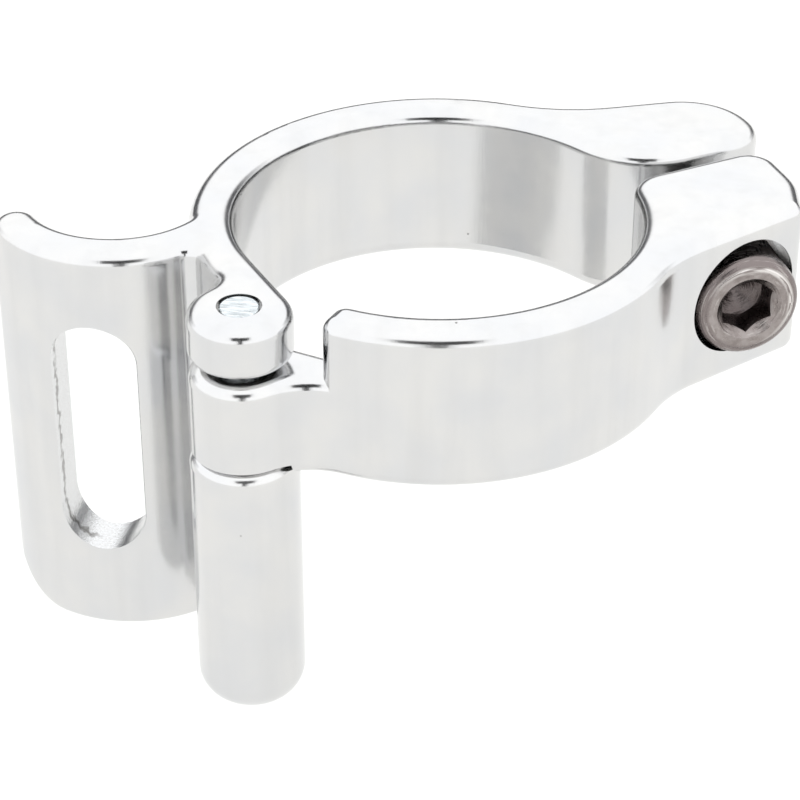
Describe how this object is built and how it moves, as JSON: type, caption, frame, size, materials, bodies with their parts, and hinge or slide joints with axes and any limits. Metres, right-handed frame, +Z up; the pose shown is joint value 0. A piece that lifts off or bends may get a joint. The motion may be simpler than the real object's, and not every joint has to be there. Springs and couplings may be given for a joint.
{
  "type": "front derailleur band clamp",
  "caption": "Hinged aluminium band clamp for a bicycle seat tube, with a slotted saddle that carries a front derailleur and a socket-head clamp bolt.",
  "frame": {"origin": "on the axis of the clamp's bore, halfway up the band", "axes": "+Z up along the seat tube; the saddle's slot runs through along Y, with the saddle's hollow side towards +Y and the hinge and the bolt's head on the -Y side"},
  "size_m": [0.0614, 0.0445, 0.0355],
  "materials": {
    "polished_aluminium": "polished, with fine polishing lines and machined slot walls",
    "pin_steel": "bright ground steel",
    "bolt_steel": "dark nickel plating on steel",
    "washer_steel": "dark nickel plating on steel"
  },
  "bodies": {
    "body": {"clamp_body": "polished_aluminium", "hinge_pin": "pin_steel"},
    "arm": {"hinged_arm": "polished_aluminium"},
    "bolt_carriage": {"bolt_washer": "washer_steel"},
    "bolt": {"clamp_bolt": "bolt_steel"}
  },
  "joints": [
    {"name": "arm_swing", "type": "hinge", "parent": "body", "child": "arm", "pos_m": [-0.01138, -0.01759, 0], "axis": [0, 0, -1], "range_deg": [-2, 2.5]},
    {"name": "bolt_travel", "type": "slide", "parent": "body", "child": "bolt_carriage", "axis": [0.4462, -0.8949, 0], "range_m": [-0.0015, 0.0018]},
    {"name": "bolt_turn", "type": "hinge", "parent": "bolt_carriage", "child": "bolt", "pos_m": [0.02453, 0.00068, 0], "axis": [0.4462, -0.8949, 0], "range_deg": [-640, 800]}
  ],
  "couplings": [
    {"joint": "bolt_travel", "follows": "arm_swing", "m_per_rad": 0.040289},
    {"joint": "bolt_turn", "follows": "arm_swing", "ratio": 316.43}
  ]
}
